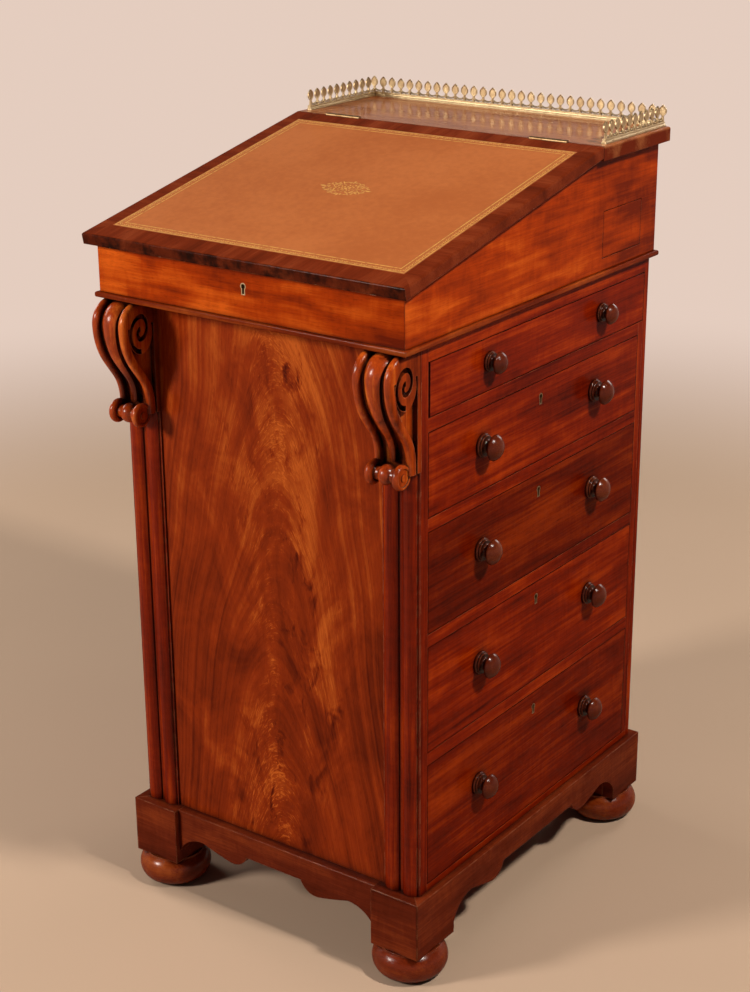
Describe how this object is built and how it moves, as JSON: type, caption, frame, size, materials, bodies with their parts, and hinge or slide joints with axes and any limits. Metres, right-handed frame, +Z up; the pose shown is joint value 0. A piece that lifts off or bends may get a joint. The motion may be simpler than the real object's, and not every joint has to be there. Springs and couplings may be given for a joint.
{
  "type": "davenport desk",
  "caption": "Small sloping-lid writing desk with side drawers, scroll corbels, leather writing surface and brass gallery.",
  "frame": {"origin": "on the floor, in the middle of the overall width and depth", "axes": "+Z up, the writer sits on the -Y side, the drawers open to +X"},
  "size_m": [0.4238, 0.5178, 0.8631],
  "materials": {
    "mahogany": "french polish",
    "flame_mahogany": "french polish",
    "lining_wood": "plain",
    "leather": "satin",
    "brass": "polished",
    "steel": "satin"
  },
  "bodies": {
    "carcase": {"bun_feet": "mahogany", "plinth_front": "mahogany", "plinth_sides": "mahogany", "plinth_back": "mahogany", "plinth_blocks": "mahogany", "carcase_left_side": "mahogany", "drawer_stiles": "mahogany", "drawer_rails": "mahogany", "pilasters": "mahogany", "corbels": "mahogany", "dummy_fronts": "mahogany", "dummy_knobs": "mahogany", "waist_moulding": "mahogany", "desk_front": "mahogany", "desk_left_side": "mahogany", "desk_right_side": "mahogany", "desk_back": "mahogany", "top_shelf": "mahogany", "carcase_bottom": "mahogany", "carcase_back": "mahogany", "front_panel": "flame_mahogany", "carcase_top": "lining_wood", "drawer_runners": "lining_wood", "desk_bottom": "lining_wood", "inside_partitions": "lining_wood", "gallery": "brass", "lid_lock": "brass", "hinge_shelf_leaves": "brass"},
    "lid": {"lid_board": "mahogany", "lid_leather": "leather", "hinge_lid_leaves": "brass", "lock_link_plate": "brass"},
    "lid_bolt": {"lid_lock_bolt": "steel"},
    "top_drawer": {"drawer_1_front": "mahogany", "drawer_1_knobs": "mahogany", "drawer_1_box": "lining_wood"},
    "second_drawer": {"drawer_2_front": "mahogany", "drawer_2_knobs": "mahogany", "drawer_2_box": "lining_wood", "drawer_2_lock": "brass"},
    "second_bolt": {"drawer_2_bolt": "steel"},
    "third_drawer": {"drawer_3_front": "mahogany", "drawer_3_knobs": "mahogany", "drawer_3_box": "lining_wood", "drawer_3_lock": "brass"},
    "third_bolt": {"drawer_3_bolt": "steel"},
    "fourth_drawer": {"drawer_4_front": "mahogany", "drawer_4_knobs": "mahogany", "drawer_4_box": "lining_wood", "drawer_4_lock": "brass"},
    "fourth_bolt": {"drawer_4_bolt": "steel"},
    "bottom_drawer": {"drawer_5_front": "mahogany", "drawer_5_knobs": "mahogany", "drawer_5_box": "lining_wood", "drawer_5_lock": "brass"},
    "bottom_bolt": {"drawer_5_bolt": "steel"},
    "pen_drawer": {"pen_drawer": "mahogany"},
    "left_inside_drawer": {"inside_drawer_left": "lining_wood"},
    "right_inside_drawer": {"inside_drawer_right": "lining_wood"}
  },
  "joints": [
    {"name": "lid_hinge", "type": "hinge", "parent": "carcase", "child": "lid", "pos_m": [0, 0.10547, 0.84], "axis": [-1, 0, 0], "range_deg": [0, 108]},
    {"name": "lid_bolt_slide", "type": "slide", "parent": "carcase", "child": "lid_bolt", "axis": [1, 0, 0], "range_m": [0, 0.005]},
    {"name": "top_drawer_slide", "type": "slide", "parent": "carcase", "child": "top_drawer", "axis": [1, 0, 0], "range_m": [0, 0.26]},
    {"name": "second_drawer_slide", "type": "slide", "parent": "carcase", "child": "second_drawer", "axis": [1, 0, 0], "range_m": [0, 0.26]},
    {"name": "second_bolt_slide", "type": "slide", "parent": "second_drawer", "child": "second_bolt", "axis": [0, 0, 1], "range_m": [0, 0.008]},
    {"name": "third_drawer_slide", "type": "slide", "parent": "carcase", "child": "third_drawer", "axis": [1, 0, 0], "range_m": [0, 0.26]},
    {"name": "third_bolt_slide", "type": "slide", "parent": "third_drawer", "child": "third_bolt", "axis": [0, 0, 1], "range_m": [0, 0.008]},
    {"name": "fourth_drawer_slide", "type": "slide", "parent": "carcase", "child": "fourth_drawer", "axis": [1, 0, 0], "range_m": [0, 0.26]},
    {"name": "fourth_bolt_slide", "type": "slide", "parent": "fourth_drawer", "child": "fourth_bolt", "axis": [0, 0, 1], "range_m": [0, 0.008]},
    {"name": "bottom_drawer_slide", "type": "slide", "parent": "carcase", "child": "bottom_drawer", "axis": [1, 0, 0], "range_m": [0, 0.26]},
    {"name": "bottom_bolt_slide", "type": "slide", "parent": "bottom_drawer", "child": "bottom_bolt", "axis": [0, 0, 1], "range_m": [0, 0.008]},
    {"name": "pen_drawer_slide", "type": "slide", "parent": "carcase", "child": "pen_drawer", "axis": [1, 0, 0], "range_m": [0, 0.22]},
    {"name": "left_inside_drawer_slide", "type": "slide", "parent": "carcase", "child": "left_inside_drawer", "axis": [0, -1, 0], "range_m": [0, 0.08]},
    {"name": "right_inside_drawer_slide", "type": "slide", "parent": "carcase", "child": "right_inside_drawer", "axis": [0, -1, 0], "range_m": [0, 0.08]}
  ]
}
